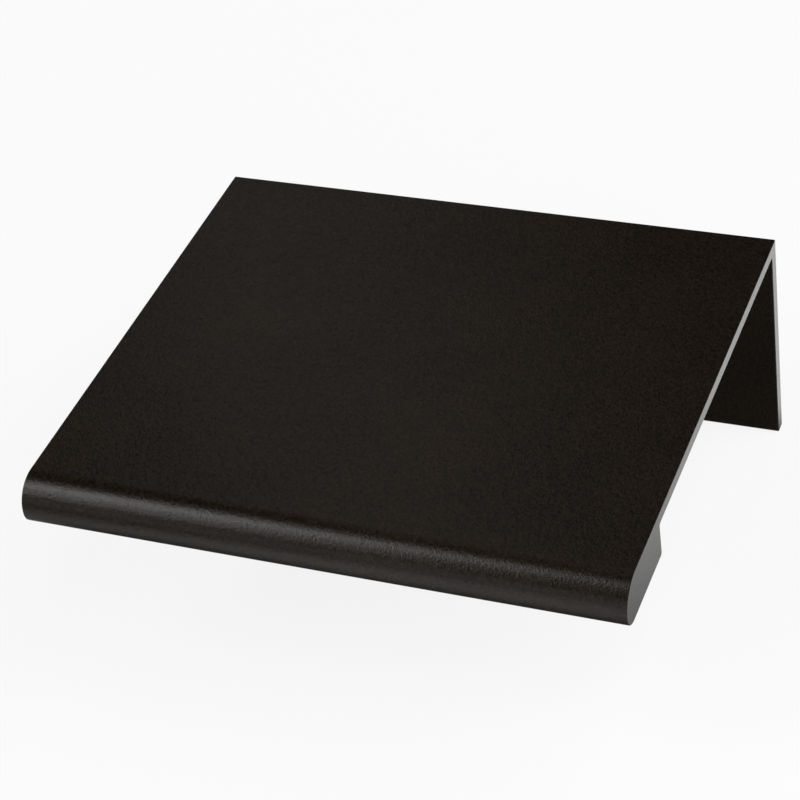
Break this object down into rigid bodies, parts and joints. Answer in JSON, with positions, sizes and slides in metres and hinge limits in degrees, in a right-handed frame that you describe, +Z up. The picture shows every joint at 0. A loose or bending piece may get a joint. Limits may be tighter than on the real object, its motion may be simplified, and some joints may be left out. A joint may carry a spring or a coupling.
{
  "type": "tab pull",
  "caption": "Tab pull of black coated metal section: a thin plate with a screw flange behind it and a thick rounded nose along its front edge for the fingers.",
  "frame": {"origin": "midway between the screw holes, on the front face of the flange, which seats on the back of the drawer front", "axes": "+X along the pull's length, -Y out of the drawer towards the nose, +Z up; the plate is level, as it lies on a mounted drawer front"},
  "size_m": [0.0508, 0.044, 0.0207],
  "materials": {
    "black_coat": "satin"
  },
  "bodies": {
    "root": {"tab_pull": "black_coat"}
  },
  "joints": []
}
